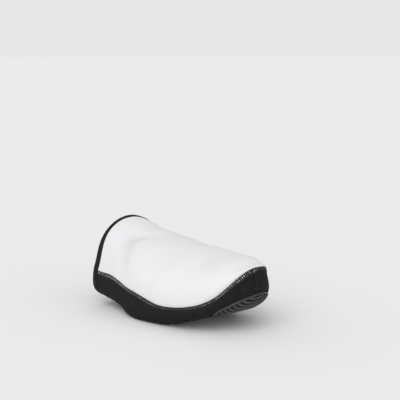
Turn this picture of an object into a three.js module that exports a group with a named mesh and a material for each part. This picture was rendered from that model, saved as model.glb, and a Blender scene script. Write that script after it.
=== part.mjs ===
import * as THREE from "three";
import { mergeVertices } from "three/addons/utils/BufferGeometryUtils.js";

// Toe cover for a right road cycling shoe, in the form that it keeps when worn.
// Millimetres: +X points to the toe, +Y to the big-toe (medial) side and +Z up.
//
// The cover is one smooth skin. Its outline in plan runs from the rear edge on the lateral side,
// round the toe, to the rear edge on the medial side. A wave-shaped seam follows that outline:
// under it the rand drops and turns under to the sole, and over it the upper panel arches across.
// Heights are stated above the sole line, which itself rises towards both ends.

// ---- Driving dimensions ----

const LENGTH = 180; // from the rear edge to the foremost point
const CLOTH_WALL = 2.4; // laminated cloth with its lining
const PAD_WALL = 3.2; // moulded rubber at the toe
const PAD_PROUD = 0.8; // how far the rubber stands out of the cloth
const GAP = 0.3; // between neighbouring pieces

// Binding of the rear opening: how far it stands out of the cloth and reaches into it
const BINDING = { width: 8, proud: 0.7, depth: 2.9, cornerPower: 4 };
const BINDING_WIDTHS = [
  { over: 0, width: BINDING.width },
  { over: 0.12, width: BINDING.width },
  { over: 0.27, width: 5 },
  { over: 0.36, width: 4.4 },
  { over: 0.5, width: 5.2 },
  { over: 0.8, width: 6 },
  { over: 1, width: BINDING.width },
];

// Plan outline: half widths at the rear edge and at the widest place, by side
const SIDES = {
  lateral: { sign: -1, rear: 51.5, widest: 54.5, widestAt: 75, fullness: 2 },
  medial: { sign: 1, rear: 43, widest: 47.3, widestAt: 110, fullness: 2.3 },
};
const WIDTH_GROWTH = 1.4; // more than 1 keeps the outline narrow for longer behind the ball
const TOE_TIP_Y = 6.5; // the toe points a little to the medial side
const TOE_CENTRE_X = 134; // sections fan out round this place at the toe

// Sole line: flat under the ball, up behind it to the strap under the arch, and up to the toe
const ARCH_LINE = [
  { x: 0, height: 9.5 },
  { x: 16, height: 7 },
  { x: 32, height: 5.5 },
  { x: 46, height: 3.5 },
  { x: 56, height: 0.8 },
  { x: 64, height: 0 },
  { x: 72, height: 0 },
];
const TOE_SPRING = { from: 97, rise: 32, power: 1.5 };

// Heights of the seam on both sides and of the ridge of the upper panel. Shift moves the ridge to
// the medial side, fullness is 2 for a round arch and more for a squarer one, and waist is the
// share by which the sides are drawn in between the seam and the shoulder.
const SECTIONS = [
  { x: 0, lateralSeam: 24.7, medialSeam: 22.5, ridge: 72.8, shift: 1, fullness: 1.93, waist: 0.057 },
  { x: 16, lateralSeam: 26.9, medialSeam: 26.5, ridge: 72.2, shift: 0.5, fullness: 2, waist: 0.036 },
  { x: 30, lateralSeam: 28.3, medialSeam: 30, ridge: 68.4, shift: 0.3, fullness: 2.08, waist: 0.017 },
  { x: 46, lateralSeam: 27.2, medialSeam: 31.5, ridge: 69.2, shift: -0.3, fullness: 2.15, waist: 0 },
  { x: 60, lateralSeam: 26.6, medialSeam: 34.8, ridge: 69.8, shift: -1, fullness: 2.2, waist: 0 },
  { x: 75, lateralSeam: 24.5, medialSeam: 34.4, ridge: 67.2, shift: -1.7, fullness: 2.2, waist: 0 },
  { x: 90, lateralSeam: 21.5, medialSeam: 34, ridge: 65.2, shift: -2.5, fullness: 2.2, waist: 0 },
  { x: 105, lateralSeam: 18.3, medialSeam: 35, ridge: 63.2, shift: -3.3, fullness: 2.2, waist: 0 },
  { x: 120, lateralSeam: 15.4, medialSeam: 35.1, ridge: 57, shift: -4, fullness: 2.2, waist: 0 },
  { x: 132, lateralSeam: 13.4, medialSeam: 33.2, ridge: 51.8, shift: -4.7, fullness: 2.2, waist: 0 },
  { x: 145, lateralSeam: 12.4, medialSeam: 31, ridge: 47.6, shift: -5.3, fullness: 2.2, waist: 0 },
  { x: 160, lateralSeam: 15.6, medialSeam: 29.7, ridge: 41.8, shift: -6, fullness: 2.2, waist: 0 },
  { x: 170, lateralSeam: 22.2, medialSeam: 30, ridge: 38.3, shift: -6.5, fullness: 2.2, waist: 0 },
  { x: LENGTH, lateralSeam: 30.6, medialSeam: 30.6, ridge: 37.6, shift: -7, fullness: 2.2, waist: 0 },
];
const WAIST_SCALE = 9.48; // makes up * (1 - up) ** 3 reach 1

// Rand: how far the seam sits inboard of the widest line, how far the wall turns under, and how
// square its lower edge is
const RAND = [
  { x: 0, seamInboard: 4.5, turnUnder: 20, fullness: 2.5 },
  { x: 40, seamInboard: 4.5, turnUnder: 17, fullness: 2.4 },
  { x: 72, seamInboard: 4.5, turnUnder: 10, fullness: 2.9 },
  { x: 90, seamInboard: 4.5, turnUnder: 14, fullness: 2.5 },
  { x: 110, seamInboard: 4.5, turnUnder: 18, fullness: 2.25 },
  { x: 140, seamInboard: 5, turnUnder: 19, fullness: 2.5 },
  { x: LENGTH, seamInboard: 9, turnUnder: 26, fullness: 2.6 },
];

// Upper panel
const NOSE_LENGTH = 29; // the ridge comes down to the toe tip over this length
const TIP_BLEND = 14; // the inside is rounder than the tight fold at the tip over this length

// Dents of the upper panel. Across runs from -1 on the lateral seam to 1 on the medial seam.
// The valley lies in front of the rear hump and curves forward at the ridge.
const VALLEY = [
  { across: -1, centre: 54, depth: 0 },
  { across: -0.75, centre: 47, depth: 2 },
  { across: -0.45, centre: 42, depth: 3 },
  { across: -0.1, centre: 48, depth: 1.5 },
  { across: 0.3, centre: 54, depth: 0.6 },
  { across: 0.7, centre: 48, depth: 1 },
  { across: 1, centre: 46, depth: 0 },
];
const VALLEY_WIDTH = 13;

// Toe pad: how far down the turned-under wall its edge lies. Turn is 0 at the toe tip and
// negative on the lateral side. Down is 0 at the seam and 1 where the wall lies flat on the sole.
const PAD_REACH = 0.43;
const PAD_EDGE = [
  { turn: -PAD_REACH, down: 1 },
  { turn: -0.36, down: 0.61 },
  { turn: -0.28, down: 0.53 },
  { turn: -0.12, down: 0.51 },
  { turn: 0.12, down: 0.485 },
  { turn: 0.28, down: 0.53 },
  { turn: 0.36, down: 0.64 },
  { turn: PAD_REACH, down: 1 },
];
const PAD_GAP = 0.55; // along the wall, where the edge runs aslant
const PAD_CORNER = 0.03; // share of the rear edge that its two pointed corners stop short
const PAD_REAR_BULGE = 7; // the rear edge of the pad bows backwards

// Opening in the sole for the cleat
const CLEAT_OPENING = { x: 82, y: -4, halfLength: 36, halfWidth: 26, squareness: 4 };

// Facets of the walls
const FACETS = {
  besideSole: 20, // along each side, behind the toe pad
  roundPad: 14, // along each side of the toe pad
  overArch: 26,
  downRand: 9,
  downPad: 5,
  acrossSole: 3,
  soleSide: 16,
  soleRear: 10,
  bindingOver: 30,
  bindingUnder: 9,
  bindingSection: 12,
};
const TIP_CROWDING = 1.4; // more than 1 puts the facets closer together towards the toe tip
const BINDING_BLEND = 30; // the panel's facets follow the binding's edge over this length

// ---- Small helpers ----

const STEP = 1e-3; // for slopes worked out by differences
const WELD = 2e-3; // vertices closer than this become one

const clamp = THREE.MathUtils.clamp;
const lerp = THREE.MathUtils.lerp;
const ease = (t) => THREE.MathUtils.smoothstep(t, 0, 1);
const range = (count) => Array.from({ length: count + 1 }, (_, i) => i / count);

// Smooth curve through the rows of a table
function tableValue(table, key, column, at) {
  const last = table.length - 1;
  const place = clamp(at, table[0][key], table[last][key]);
  let row = 0;
  while (row < last - 1 && table[row + 1][key] < place) row += 1;
  const chord = (i) => {
    const [a, b] = [table[i], table[i + 1]];
    return (b[column] - a[column]) / (b[key] - a[key]);
  };
  const slope = (i) => {
    if (i === 0) return chord(0);
    if (i === last) return chord(last - 1);
    const before = table[i][key] - table[i - 1][key];
    const after = table[i + 1][key] - table[i][key];
    return (chord(i - 1) * after + chord(i) * before) / (before + after);
  };
  const [low, high] = [table[row], table[row + 1]];
  const span = high[key] - low[key];
  const t = (place - low[key]) / span;
  const rise = t * t * (3 - 2 * t);
  const value = lerp(low[column], high[column], rise);
  return value + span * t * (1 - t) * ((1 - t) * slope(row) - t * slope(row + 1));
}

// Point of a unit superellipse in the first quarter, evenly enough spread
function superellipse(angle, fullness) {
  const [c, s] = [Math.abs(Math.cos(angle)), Math.abs(Math.sin(angle))];
  const radius = (c ** fullness + s ** fullness) ** (-1 / fullness);
  return { across: radius * c, up: radius * s };
}

// ---- The skin ----

// Turn is -1 at the rear edge on the lateral side, 0 at the toe tip and 1 on the medial side
const turnAt = (x) => Math.sqrt(1 - x / LENGTH);

function soleLine(x) {
  const spring = clamp((x - TOE_SPRING.from) / (LENGTH - TOE_SPRING.from), 0, 1);
  const arch = Math.max(0, tableValue(ARCH_LINE, "x", "height", x));
  return arch + TOE_SPRING.rise * spring ** TOE_SPRING.power;
}

function outline(turn) {
  const x = LENGTH * (1 - turn * turn);
  const side = turn < 0 ? SIDES.lateral : SIDES.medial;
  const growth = Math.sin((clamp(x / side.widestAt, 0, 1) * Math.PI) / 2) ** WIDTH_GROWTH;
  const rear = lerp(side.rear, side.widest, growth);
  const q = clamp((x - side.widestAt) / (LENGTH - side.widestAt), 0, 1);
  const tip = side.sign * TOE_TIP_Y;
  const front = tip + (side.widest - tip) * (1 - q ** side.fullness) ** (1 / side.fullness);
  return new THREE.Vector3(x, side.sign * (x < side.widestAt ? rear : front), 0);
}

// Level direction from the outline to the middle of the cover
function inboard(edge) {
  const middle = new THREE.Vector3(Math.min(edge.x, TOE_CENTRE_X), 0, 0);
  middle.y = TOE_TIP_Y * ease(edge.x / TOE_CENTRE_X);
  return middle.sub(edge).normalize();
}

const turnUnder = (x) => tableValue(RAND, "x", "turnUnder", x);

const seamHeight = (turn, x) =>
  tableValue(SECTIONS, "x", turn < 0 ? "lateralSeam" : "medialSeam", x);

// Rand and the turned-under edge: down is 0 at the seam and 1 on the flat sole
function randPoint(turn, down) {
  const edge = outline(turn);
  const curve = superellipse((down * Math.PI) / 2, tableValue(RAND, "x", "fullness", edge.x));
  const drop = clamp(curve.up, 0, 1);
  const seamInset = tableValue(RAND, "x", "seamInboard", edge.x) * ease(1 - drop);
  const inset = turnUnder(edge.x) * (1 - curve.across) + seamInset;
  const point = edge.clone().addScaledVector(inboard(edge), inset);
  point.z = seamHeight(turn, edge.x) * (1 - drop) + soleLine(point.x);
  return point;
}

function valleyDepth(x, across) {
  const centre = tableValue(VALLEY, "across", "centre", across);
  const depth = tableValue(VALLEY, "across", "depth", across);
  return depth * Math.exp(-(((x - centre) / VALLEY_WIDTH) ** 2));
}

// Upper panel: along is the distance from the rear edge, over is 0 and 1 on the two seams
function upperPoint(along, over) {
  const turn = turnAt(along);
  const [left, right] = [randPoint(-turn, 0), randPoint(turn, 0)];
  const section = (column) => tableValue(SECTIONS, "x", column, along);
  const curve = superellipse(over * Math.PI, section("fullness"));
  const waist = section("waist") * WAIST_SCALE * curve.up * (1 - curve.up) ** 3;
  const across = (over < 0.5 ? -1 : 1) * curve.across * (1 - waist);
  const seams = [seamHeight(-turn, along), seamHeight(turn, along)];
  const nose = Math.sqrt(1 - clamp(1 - (LENGTH - along) / NOSE_LENGTH, 0, 1) ** 2);
  const arch = (section("ridge") - (seams[0] + seams[1]) / 2) * nose;
  const point = new THREE.Vector3().lerpVectors(left, right, (across + 1) / 2);
  point.y += section("shift") * nose * nose * curve.up;
  point.z = lerp(seams[0], seams[1], (across + 1) / 2) + arch * curve.up + soleLine(point.x);
  point.z += GAP * (1 - curve.up * nose) - valleyDepth(along, across) * curve.up;
  return point;
}

// Outward normal of a surface by differences inside its own range
function normalOf(surface, a, b, aRange, bRange) {
  const [a0, a1] = [Math.max(a - STEP, aRange[0]), Math.min(a + STEP, aRange[1])];
  const [b0, b1] = [Math.max(b - STEP, bRange[0]), Math.min(b + STEP, bRange[1])];
  const first = surface(a1, b).sub(surface(a0, b));
  const second = surface(a, b1).sub(surface(a, b0));
  return first.cross(second).normalize();
}

const randNormal = (turn, down) =>
  normalOf(randPoint, turn, down, [-1, 1], [0, 1]).negate();

function upperNormal(along, over) {
  const turn = turnAt(along);
  if (over <= 0) return randNormal(-turn, 0);
  if (over >= 1 || turn === 0) return randNormal(turn, 0);
  const level = randNormal(-turn, 0).lerp(randNormal(turn, 0), over).normalize();
  const square = normalOf(upperPoint, along, over, [0, LENGTH], [0, 1]);
  return level.lerp(square, ease((LENGTH - along) / TIP_BLEND)).normalize();
}

function soleNormal(x) {
  const slope = (soleLine(x + STEP) - soleLine(x - STEP)) / (2 * STEP);
  return new THREE.Vector3(slope, 0, -1).normalize();
}

// ---- Closed bodies from grids of { point, normal } ----

function bodyFromGrids(outer, inner, ring) {
  const rows = outer.length;
  const columns = outer[0].length;
  const points = [...outer.flat(), ...inner.flat()];
  const at = (layer, row, column) => (layer * rows + row) * columns + (column % columns);
  const faces = [];
  const quad = (a, b, c, d) => faces.push([a, b, c], [a, c, d]);
  const cells = ring ? columns : columns - 1;
  for (let i = 0; i < rows - 1; i += 1) {
    for (let j = 0; j < cells; j += 1) {
      quad(at(0, i, j), at(0, i + 1, j), at(0, i + 1, j + 1), at(0, i, j + 1));
      quad(at(1, i, j), at(1, i, j + 1), at(1, i + 1, j + 1), at(1, i + 1, j));
    }
  }
  for (let j = 0; j < cells; j += 1) {
    quad(at(0, 0, j), at(0, 0, j + 1), at(1, 0, j + 1), at(1, 0, j));
    quad(at(0, rows - 1, j), at(1, rows - 1, j), at(1, rows - 1, j + 1), at(0, rows - 1, j + 1));
  }
  for (let i = 0; i < rows - 1 && !ring; i += 1) {
    quad(at(0, i, 0), at(1, i, 0), at(1, i + 1, 0), at(0, i + 1, 0));
    const end = columns - 1;
    quad(at(0, i, end), at(0, i + 1, end), at(1, i + 1, end), at(1, i, end));
  }
  return meshGeometry(points, faces);
}

// Vertices that meet become one, faces without area go, and the rest are turned to face outwards
function meshGeometry(points, faces) {
  const raw = new THREE.BufferGeometry().setFromPoints(points);
  raw.setIndex(faces.flat());
  const merged = mergeVertices(raw, WELD);
  const corners = new THREE.BufferGeometry();
  corners.setAttribute("position", merged.getAttribute("position"));
  const index = merged.getIndex().array;
  const kept = [];
  for (let i = 0; i < index.length; i += 3) {
    const [a, b, c] = [index[i], index[i + 1], index[i + 2]];
    if (a !== b && b !== c && c !== a) kept.push([a, b, c]);
  }
  const position = corners.getAttribute("position");
  const vertex = (i) => new THREE.Vector3().fromBufferAttribute(position, i);
  const volume = kept.reduce((sum, [a, b, c]) => sum + vertex(a).dot(vertex(b).cross(vertex(c))), 0);
  corners.setIndex((volume < 0 ? kept.map(([a, b, c]) => [a, c, b]) : kept).flat());
  corners.computeVertexNormals();
  return corners;
}

// A wall of even thickness: the grid stands out by proud and is backed by the wall
function wallBody(grid, wall, proud = 0, ring = false) {
  const layer = (offset) =>
    grid.map((row) => row.map(({ point, normal }) => point.clone().addScaledVector(normal, offset)));
  return bodyFromGrids(layer(proud), layer(proud - wall), ring);
}

// ---- Pieces ----

const SKIN_START = BINDING.width + GAP; // where the low cloth starts, in front of the binding

// Places along each side that the pieces share, so that their facets meet along the seams.
// Turn comes down from the rear edge to 0 at the toe tip.
const PAD_BACK = LENGTH * (1 - PAD_REACH ** 2);
const BESIDE_SOLE = range(FACETS.besideSole).map((t) => turnAt(lerp(SKIN_START, PAD_BACK, t)));
const ROUND_PAD = range(FACETS.roundPad).slice(1).map((t) => PAD_REACH * (1 - t ** TIP_CROWDING));
const TURNS = [...BESIDE_SOLE, ...ROUND_PAD];

// The two rands meet in an upright seam a little to the lateral side of the toe tip
const FRONT_SEAM = -TURNS[TURNS.length - 2];
const FRONT_GAP = (STEP * GAP) / (2 * outline(FRONT_SEAM).distanceTo(outline(FRONT_SEAM + STEP)));
const LATERAL_TURNS = [...TURNS.slice(0, -2).map((turn) => -turn), FRONT_SEAM - FRONT_GAP];
const MEDIAL_TURNS = [...TURNS, FRONT_SEAM + FRONT_GAP];

// Moves a place down a wall by a small length along the surface
function shiftDown(turn, down, length) {
  const reach = randPoint(turn, down).distanceTo(randPoint(turn, down - STEP));
  return down + (length / reach) * STEP;
}

function padEdgeDown(turn) {
  if (Math.abs(turn) >= PAD_REACH) return 1;
  return tableValue(PAD_EDGE, "turn", "down", turn);
}

// Rear edge of the pad on the flat sole, from the lateral end at 0 to the medial end at 1
function padRearPoint(t, forward) {
  const point = new THREE.Vector3().lerpVectors(randPoint(-PAD_REACH, 1), randPoint(PAD_REACH, 1), t);
  point.x += forward - PAD_REAR_BULGE * 4 * t * (1 - t);
  point.z = soleLine(point.x);
  return point;
}

function upperPanel() {
  const grid = TURNS.map((turn) => {
    const station = LENGTH * (1 - turn * turn);
    const behind = ease(1 - (station - SKIN_START) / BINDING_BLEND);
    return range(FACETS.overArch).map((over) => {
      const along = station - (BINDING.width - bindingWidth(over)) * behind;
      return { point: upperPoint(along, over), normal: upperNormal(along, over) };
    });
  });
  return wallBody(grid, CLOTH_WALL);
}

function rand(turns) {
  const grid = turns.map((turn) => {
    const end = padEdgeDown(turn);
    return range(FACETS.downRand).map((part) => {
      const down = part * end;
      return { point: randPoint(turn, down), normal: randNormal(turn, down) };
    });
  });
  return wallBody(grid, CLOTH_WALL);
}

function toePad() {
  const lateral = ROUND_PAD.map((turn) => -turn);
  const medial = ROUND_PAD.slice(0, -1).reverse();
  const turns = [...lateral, ...medial];
  const grid = turns.map((turn) => {
    const t = (turn / PAD_REACH + 1) / 2;
    const start = shiftDown(turn, padEdgeDown(turn), PAD_GAP);
    const wall = range(FACETS.downPad).map((part) => {
      const down = lerp(start, 1, part);
      return { point: randPoint(turn, down), normal: randNormal(turn, down) };
    });
    const inner = randPoint(turn, 1);
    const rear = padRearPoint(lerp(PAD_CORNER, 1 - PAD_CORNER, t), GAP);
    const under = range(FACETS.downPad).slice(1).map((part) => {
      const point = new THREE.Vector3().lerpVectors(inner, rear, part);
      point.z = soleLine(point.x);
      return { point, normal: soleNormal(point.x) };
    });
    return [...wall, ...under];
  });
  return wallBody(grid, PAD_WALL, PAD_PROUD);
}

// The sole panel is a ring of cloth between the rand, the pad and the opening for the cleat
function solePanel() {
  const side = (from, to, sign) =>
    range(FACETS.soleSide).map((t) => {
      const edge = outline(sign * turnAt(lerp(from, to, t)));
      return edge.clone().addScaledVector(inboard(edge), turnUnder(edge.x) + GAP);
    });
  const lateral = side(SKIN_START, PAD_BACK, -1);
  const front = range(FACETS.roundPad).slice(1, -1).map((t) => padRearPoint(t, 0));
  const medial = side(PAD_BACK, SKIN_START, 1);
  const rear = range(FACETS.soleRear).slice(1, -1).map((t) =>
    new THREE.Vector3().lerpVectors(medial[medial.length - 1], lateral[0], t)
  );
  const boundary = [...lateral, ...front, ...medial, ...rear];
  const { x, y, halfLength, halfWidth, squareness } = CLEAT_OPENING;
  const hole = boundary.map((point) => {
    const angle = Math.atan2((point.y - y) / halfWidth, (point.x - x) / halfLength);
    const curve = superellipse(angle, squareness);
    const [signX, signY] = [Math.sign(Math.cos(angle)), Math.sign(Math.sin(angle))];
    return new THREE.Vector3(x + signX * halfLength * curve.across, y + signY * halfWidth * curve.up, 0);
  });
  const grid = range(FACETS.acrossSole).map((t) =>
    boundary.map((point, i) => {
      const place = new THREE.Vector3().lerpVectors(point, hole[i], t);
      place.z = soleLine(place.x);
      return { point: place, normal: soleNormal(place.x) };
    })
  );
  return wallBody(grid, CLOTH_WALL, 0, true);
}

// Width of the binding over the upper panel, from one seam at 0 to the other at 1
const bindingWidth = (over) => tableValue(BINDING_WIDTHS, "over", "width", over);

// Places round the rear opening: over the upper, down the medial rand, under, and up the lateral one.
// Share runs from 0 at the rear edge to 1 at the front edge of the binding.
function openingLoop(share) {
  const low = share * BINDING.width;
  const turn = turnAt(low);
  const over = range(FACETS.bindingOver).map((t) => {
    const x = share * bindingWidth(t);
    return { point: upperPoint(x, t), normal: upperNormal(x, t) };
  });
  const side = (sign) =>
    range(FACETS.downRand).slice(1).map((down) => ({
      point: randPoint(sign * turn, down),
      normal: randNormal(sign * turn, down),
    }));
  const [medial, lateral] = [side(1), side(-1)];
  const ends = [medial[medial.length - 1].point, lateral[lateral.length - 1].point];
  const under = range(FACETS.bindingUnder).slice(1, -1).map((t) => ({
    point: new THREE.Vector3().lerpVectors(ends[0], ends[1], t),
    normal: soleNormal(low),
  }));
  return [...over, ...medial, ...under, ...lateral.reverse()];
}

function openingBinding() {
  const { proud, depth, cornerPower } = BINDING;
  const rows = range(FACETS.bindingSection).slice(0, -1).map((t) => {
    const angle = t * 2 * Math.PI;
    const curve = superellipse(angle, cornerPower);
    const share = (1 + Math.sign(Math.cos(angle)) * curve.across) / 2;
    const middle = (proud - depth) / 2;
    const lift = middle + ((proud + depth) / 2) * Math.sign(Math.sin(angle)) * curve.up;
    return openingLoop(share).map(({ point, normal }) => point.clone().addScaledVector(normal, lift));
  });
  return tubeGeometry(rows);
}

// A closed ring of closed sections: every row follows the loop at one corner of the section
function tubeGeometry(rows) {
  const [sides, places] = [rows.length, rows[0].length];
  const at = (i, j) => (i % sides) * places + (j % places);
  const faces = [];
  for (let i = 0; i < sides; i += 1) {
    for (let j = 0; j < places; j += 1) {
      faces.push([at(i, j), at(i + 1, j), at(i + 1, j + 1)], [at(i, j), at(i + 1, j + 1), at(i, j + 1)]);
    }
  }
  return meshGeometry(rows.flat(), faces);
}

// ---- Assembly ----

const whiteLaminate = { color: 0xe8e8ea, roughness: 0.6, metalness: 0 };
const blackCloth = { color: 0x26262a, roughness: 0.85, metalness: 0 };
const blackRubber = { color: 0x303033, roughness: 0.7, metalness: 0 };
const blackTape = { color: 0x1e1e20, roughness: 0.8, metalness: 0 };

const PIECES = [
  { name: "upper_panel", geometry: upperPanel(), finish: whiteLaminate },
  { name: "rand_lateral", geometry: rand(LATERAL_TURNS), finish: blackCloth },
  { name: "rand_medial", geometry: rand(MEDIAL_TURNS), finish: blackCloth },
  { name: "sole_panel", geometry: solePanel(), finish: blackCloth },
  { name: "toe_pad", geometry: toePad(), finish: blackRubber },
  { name: "opening_binding", geometry: openingBinding(), finish: blackTape },
];

const cover = new THREE.Group();
for (const { name, geometry, finish } of PIECES) {
  const mesh = new THREE.Mesh(geometry, new THREE.MeshStandardMaterial(finish));
  mesh.name = name;
  cover.add(mesh);
}

// The origin is the middle of the box on the surface that the cover rests on
const box = new THREE.Box3().setFromObject(cover);
const middle = box.getCenter(new THREE.Vector3());
cover.position.set(-middle.x, -middle.y, -box.min.z);

export default cover;
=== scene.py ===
import math

import bmesh
import bpy
import numpy as np
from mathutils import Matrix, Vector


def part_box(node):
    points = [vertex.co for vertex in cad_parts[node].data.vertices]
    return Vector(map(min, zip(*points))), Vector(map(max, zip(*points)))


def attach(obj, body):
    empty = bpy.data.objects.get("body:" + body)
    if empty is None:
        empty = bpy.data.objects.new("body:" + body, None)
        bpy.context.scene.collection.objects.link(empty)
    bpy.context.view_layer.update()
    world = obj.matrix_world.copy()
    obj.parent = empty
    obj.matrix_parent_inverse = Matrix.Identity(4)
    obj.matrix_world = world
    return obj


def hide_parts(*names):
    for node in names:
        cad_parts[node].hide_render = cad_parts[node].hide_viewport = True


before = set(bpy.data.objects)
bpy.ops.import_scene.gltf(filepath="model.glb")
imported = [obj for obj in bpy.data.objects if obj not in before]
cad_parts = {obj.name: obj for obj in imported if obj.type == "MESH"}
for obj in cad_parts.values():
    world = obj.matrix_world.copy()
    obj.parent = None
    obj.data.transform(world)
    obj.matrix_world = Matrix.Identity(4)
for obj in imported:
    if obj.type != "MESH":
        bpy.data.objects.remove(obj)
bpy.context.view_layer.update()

# Toe cover for a right road cycling shoe. The skin is worked out from the same dimensions as the
# CAD, only finer, and every piece of cloth, rubber, tape and thread is a mesh of its own on it.
# Millimetres in the modelling frame (x from the rear edge, y to the medial side, z up) until a
# mesh is made.

# ---- Dimensions shared with the CAD ----

LENGTH = 180  # from the rear edge to the foremost point
CLOTH_WALL = 2.4  # with the lining
GAP = 0.3  # between pieces

# Binding of the rear opening: how far it stands out of the cloth and reaches into it
BINDING = {"width": 8, "proud": 0.7, "depth": 2.9, "corner_power": 4}
BINDING_WIDTHS = {
    "over": [0, 0.12, 0.27, 0.36, 0.5, 0.8, 1],
    "width": [8, 8, 5, 4.4, 5.2, 6, 8],
}

# Plan outline: half widths at the rear edge and at the widest place, by side
LATERAL = {"sign": -1, "rear": 51.5, "widest": 54.5, "widest_at": 75, "fullness": 2}
MEDIAL = {"sign": 1, "rear": 43, "widest": 47.3, "widest_at": 110, "fullness": 2.3}
WIDTH_GROWTH = 1.4  # more than 1 keeps the outline narrow for longer behind the ball
TOE_TIP_Y = 6.5  # the toe points a little to the medial side
TOE_CENTRE_X = 134  # sections fan out round this place at the toe

# Sole line: flat under the ball, up behind it to the strap under the arch, and up to the toe
ARCH_LINE = {
    "x": [0, 16, 32, 46, 56, 64, 72],
    "height": [9.5, 7, 5.5, 3.5, 0.8, 0, 0],
}
TOE_SPRING = {"start": 97, "rise": 32, "power": 1.5}

# Heights of the seam on both sides and of the ridge of the upper panel. Shift moves the ridge to
# the medial side, fullness is 2 for a round arch and more for a squarer one, and waist is the
# share by which the sides are drawn in between the seam and the shoulder.
SECTIONS = {
    "x": [0, 16, 30, 46, 60, 75, 90, 105, 120, 132, 145, 160, 170, LENGTH],
    "lateral_seam": [
        24.7, 26.9, 28.3, 27.2, 26.6, 24.5, 21.5, 18.3, 15.4, 13.4, 12.4, 15.6, 22.2, 30.6
    ],
    "medial_seam": [22.5, 26.5, 30, 31.5, 34.8, 34.4, 34, 35, 35.1, 33.2, 31, 29.7, 30, 30.6],
    "ridge": [72.8, 72.2, 68.4, 69.2, 69.8, 67.2, 65.2, 63.2, 57, 51.8, 47.6, 41.8, 38.3, 37.6],
    "shift": [1, 0.5, 0.3, -0.3, -1, -1.7, -2.5, -3.3, -4, -4.7, -5.3, -6, -6.5, -7],
    "fullness": [1.93, 2, 2.08, 2.15, 2.2, 2.2, 2.2, 2.2, 2.2, 2.2, 2.2, 2.2, 2.2, 2.2],
    "waist": [0.057, 0.036, 0.017, 0, 0, 0, 0, 0, 0, 0, 0, 0, 0, 0],
}
WAIST_SCALE = 9.48  # makes up * (1 - up) ** 3 reach 1

# Rand: how far the seam sits inboard of the widest line, how far the wall turns under, and how
# square its lower edge is
RAND = {
    "x": [0, 40, 72, 90, 110, 140, LENGTH],
    "seam_inboard": [4.5, 4.5, 4.5, 4.5, 4.5, 5, 9],
    "turn_under": [20, 17, 10, 14, 18, 19, 26],
    "fullness": [2.5, 2.4, 2.9, 2.5, 2.25, 2.5, 2.6],
}
NOSE_LENGTH = 29  # over which the upper panel rounds down to the tip
TIP_BLEND = 14  # over which its normals turn level with the rand's at the tip

# Soft valley across the upper panel, where the foot bends
VALLEY = {
    "across": [-1, -0.75, -0.45, -0.1, 0.3, 0.7, 1],
    "centre": [54, 47, 42, 48, 54, 48, 46],
    "depth": [0, 2, 3, 1.5, 0.6, 1, 0],
}
VALLEY_WIDTH = 13

# Pad: how far round the toe it reaches, as a turn, and where its upper edge is on the rand
PAD_REACH = 0.43
PAD_EDGE = {
    "turn": [-PAD_REACH, -0.36, -0.28, -0.12, 0.12, 0.28, 0.36, PAD_REACH],
    "down": [1, 0.61, 0.53, 0.51, 0.485, 0.53, 0.64, 1],
}
PAD_GAP = 0.55  # between the rand and the pad
PAD_CORNER = 0.03  # share cut off each rear corner
PAD_REAR_BULGE = 7  # how far its rear edge bows back under the sole
CLEAT_OPENING = {"x": 82, "y": -4, "half_length": 36, "half_width": 26, "squareness": 4}
FRONT_SEAM = -0.0424  # where the two rands meet, as a turn

# ---- Dimensions of the details ----

SEWN_GAP = 0.05  # between the rand and the sole, where no light may come through
SEAM_LAP = 0.4  # how far the upper panel goes down behind the rand, for the same reason
PAD_LAP = 0.65  # how far the pad goes up behind the rand
SEAM_DIP = {"depth": 0.35, "width": 0.9, "sole_share": 0.6}  # both cloths go down into a seam
SEAM_GRIME = 1.2  # how far the grey of the long seam spreads on the white cloth
TIP_FLAT = 6  # the long seam's dip fades out over this length before the tip
BINDING_BLEND = 30  # length over which the rows of the upper panel leave the binding's curve
RIBS = {
    "pitch": 5,
    "height": 1.4,
    "base": 0.1,
    "middle": 5,
    "bow": 25,
    "half_width": 40,
    "fullness": 0.3,
    "steepness": 0.8,
}
RIB_WEAR = 0.75  # how light the ribs are rubbed, where the welt is 1 and the grooves, painted dark as painted shade, are 0
# Bead round the pad, with a foot over which the ribs begin
WELT = {"width": 1.4, "height": 1.3, "foot": 0.8}
# Turned edge of the opening for the cleat, with its line of stitches
HEM = {"width": 6, "height": 0.5, "edge": 0.8, "stitch": 4.2}
FRONT_TAPE = {"width": 5.2, "height": 0.35, "edge": 0.7}  # seam allowance under the lateral rand
FRONT_DIP = 0.5  # extra depth of the seam where the two rands meet
SEAM_STITCH = {"pitch": 1.95, "from": 0.1, "slant": 0.6, "radius": 0.4, "rise": 0.25}
TAPE_STIFFNESS = 3  # places on each side over which the binding rounds a kink
TAPE_GIRTH = 18  # length of the binding's own outline, for its weave
TAPE_STITCH_LINE = 0.8  # share of the binding's width at which it is sewn
LINE_STITCH = {"pitch": 3.0, "length": 2.1, "radius": 0.2, "rise": 0.1}
THREAD_SINK = 0.4  # share of a thread's radius that is pressed into the cloth

# Painted glint of the reflective thread along the seam: how much its colour is painted lighter
# where it catches the light, and how far down its stitches reach, by the turn round the cover
THREAD_GLINT_AND_REACH = {
    "turn": [
        -0.97, -0.9, -0.84, -0.75, -0.66, -0.56, -0.48, -0.4, -0.32,
        -0.24, -0.18, -0.1, -0.04, 0, 0.04, 0.2, 0.6, 0.97,
    ],
    "painted_glint": [
        0.44, 0.33, 0.18, 0.17, 0.1, 0.04, 0.15, 0.36, 0.4,
        0.75, 0.74, 0.66, 0.45, 0.15, 0.05, 0.1, 0.2, 0.5,
    ],
    "reach": [
        3.1, 3.4, 3, 3.4, 2.8, 2.4, 2.6, 3, 3.1,
        3.6, 4.2, 4.2, 4, 3.2, 2.8, 3, 3, 3.2,
    ],
}

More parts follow.
